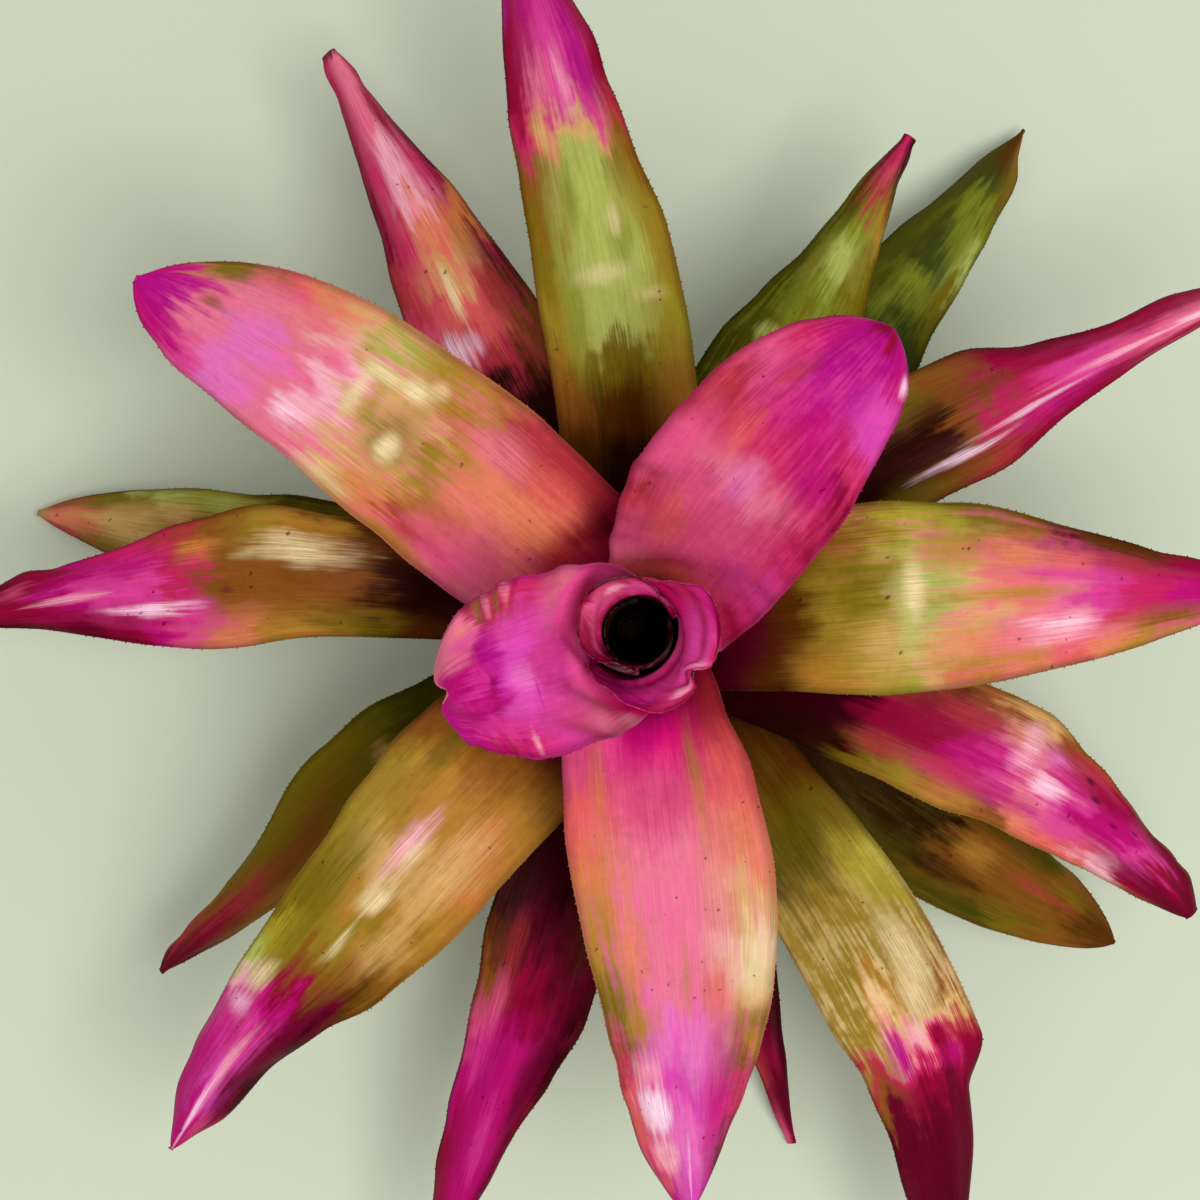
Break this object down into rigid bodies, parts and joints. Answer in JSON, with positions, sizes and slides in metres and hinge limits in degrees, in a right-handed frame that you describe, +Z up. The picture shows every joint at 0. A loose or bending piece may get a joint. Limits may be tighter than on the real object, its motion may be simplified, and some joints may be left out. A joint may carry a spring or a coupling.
{
  "type": "bromeliad plant",
  "caption": "Tank bromeliad cut at the foot: a rosette of broad, arching leaves round a short stem, with a rolled open cup at its heart.",
  "frame": {"origin": "centre of the flat cut foot of the stem, on the surface that the plant rests on", "axes": "+Z up along the plant's axis; +X towards middle_leaf_4; +Y towards middle_leaf_6"},
  "size_m": [0.4277, 0.4417, 0.1919],
  "materials": {
    "inner_leaf": "satin, waxy magenta pink with paler margins",
    "middle_leaf": "satin, waxy rose and salmon running into olive green, magenta at the tip",
    "outer_leaf": "satin, waxy olive and brown with a magenta tip and dark specks",
    "stem": "dull, fibrous, ringed with leaf scars"
  },
  "bodies": {
    "root": {"inner_leaf_1": "inner_leaf", "inner_leaf_2": "inner_leaf", "inner_leaf_3": "inner_leaf", "inner_leaf_4": "inner_leaf", "middle_leaf_1": "middle_leaf", "middle_leaf_2": "middle_leaf", "middle_leaf_3": "middle_leaf", "middle_leaf_4": "middle_leaf", "middle_leaf_5": "middle_leaf", "middle_leaf_6": "middle_leaf", "outer_leaf_1": "outer_leaf", "outer_leaf_2": "outer_leaf", "outer_leaf_3": "outer_leaf", "outer_leaf_4": "outer_leaf", "outer_leaf_5": "outer_leaf", "outer_leaf_6": "outer_leaf", "outer_leaf_7": "outer_leaf", "outer_leaf_8": "outer_leaf", "outer_leaf_9": "outer_leaf", "outer_leaf_10": "outer_leaf", "outer_leaf_11": "outer_leaf", "outer_leaf_12": "outer_leaf", "stem": "stem"}
  },
  "joints": []
}
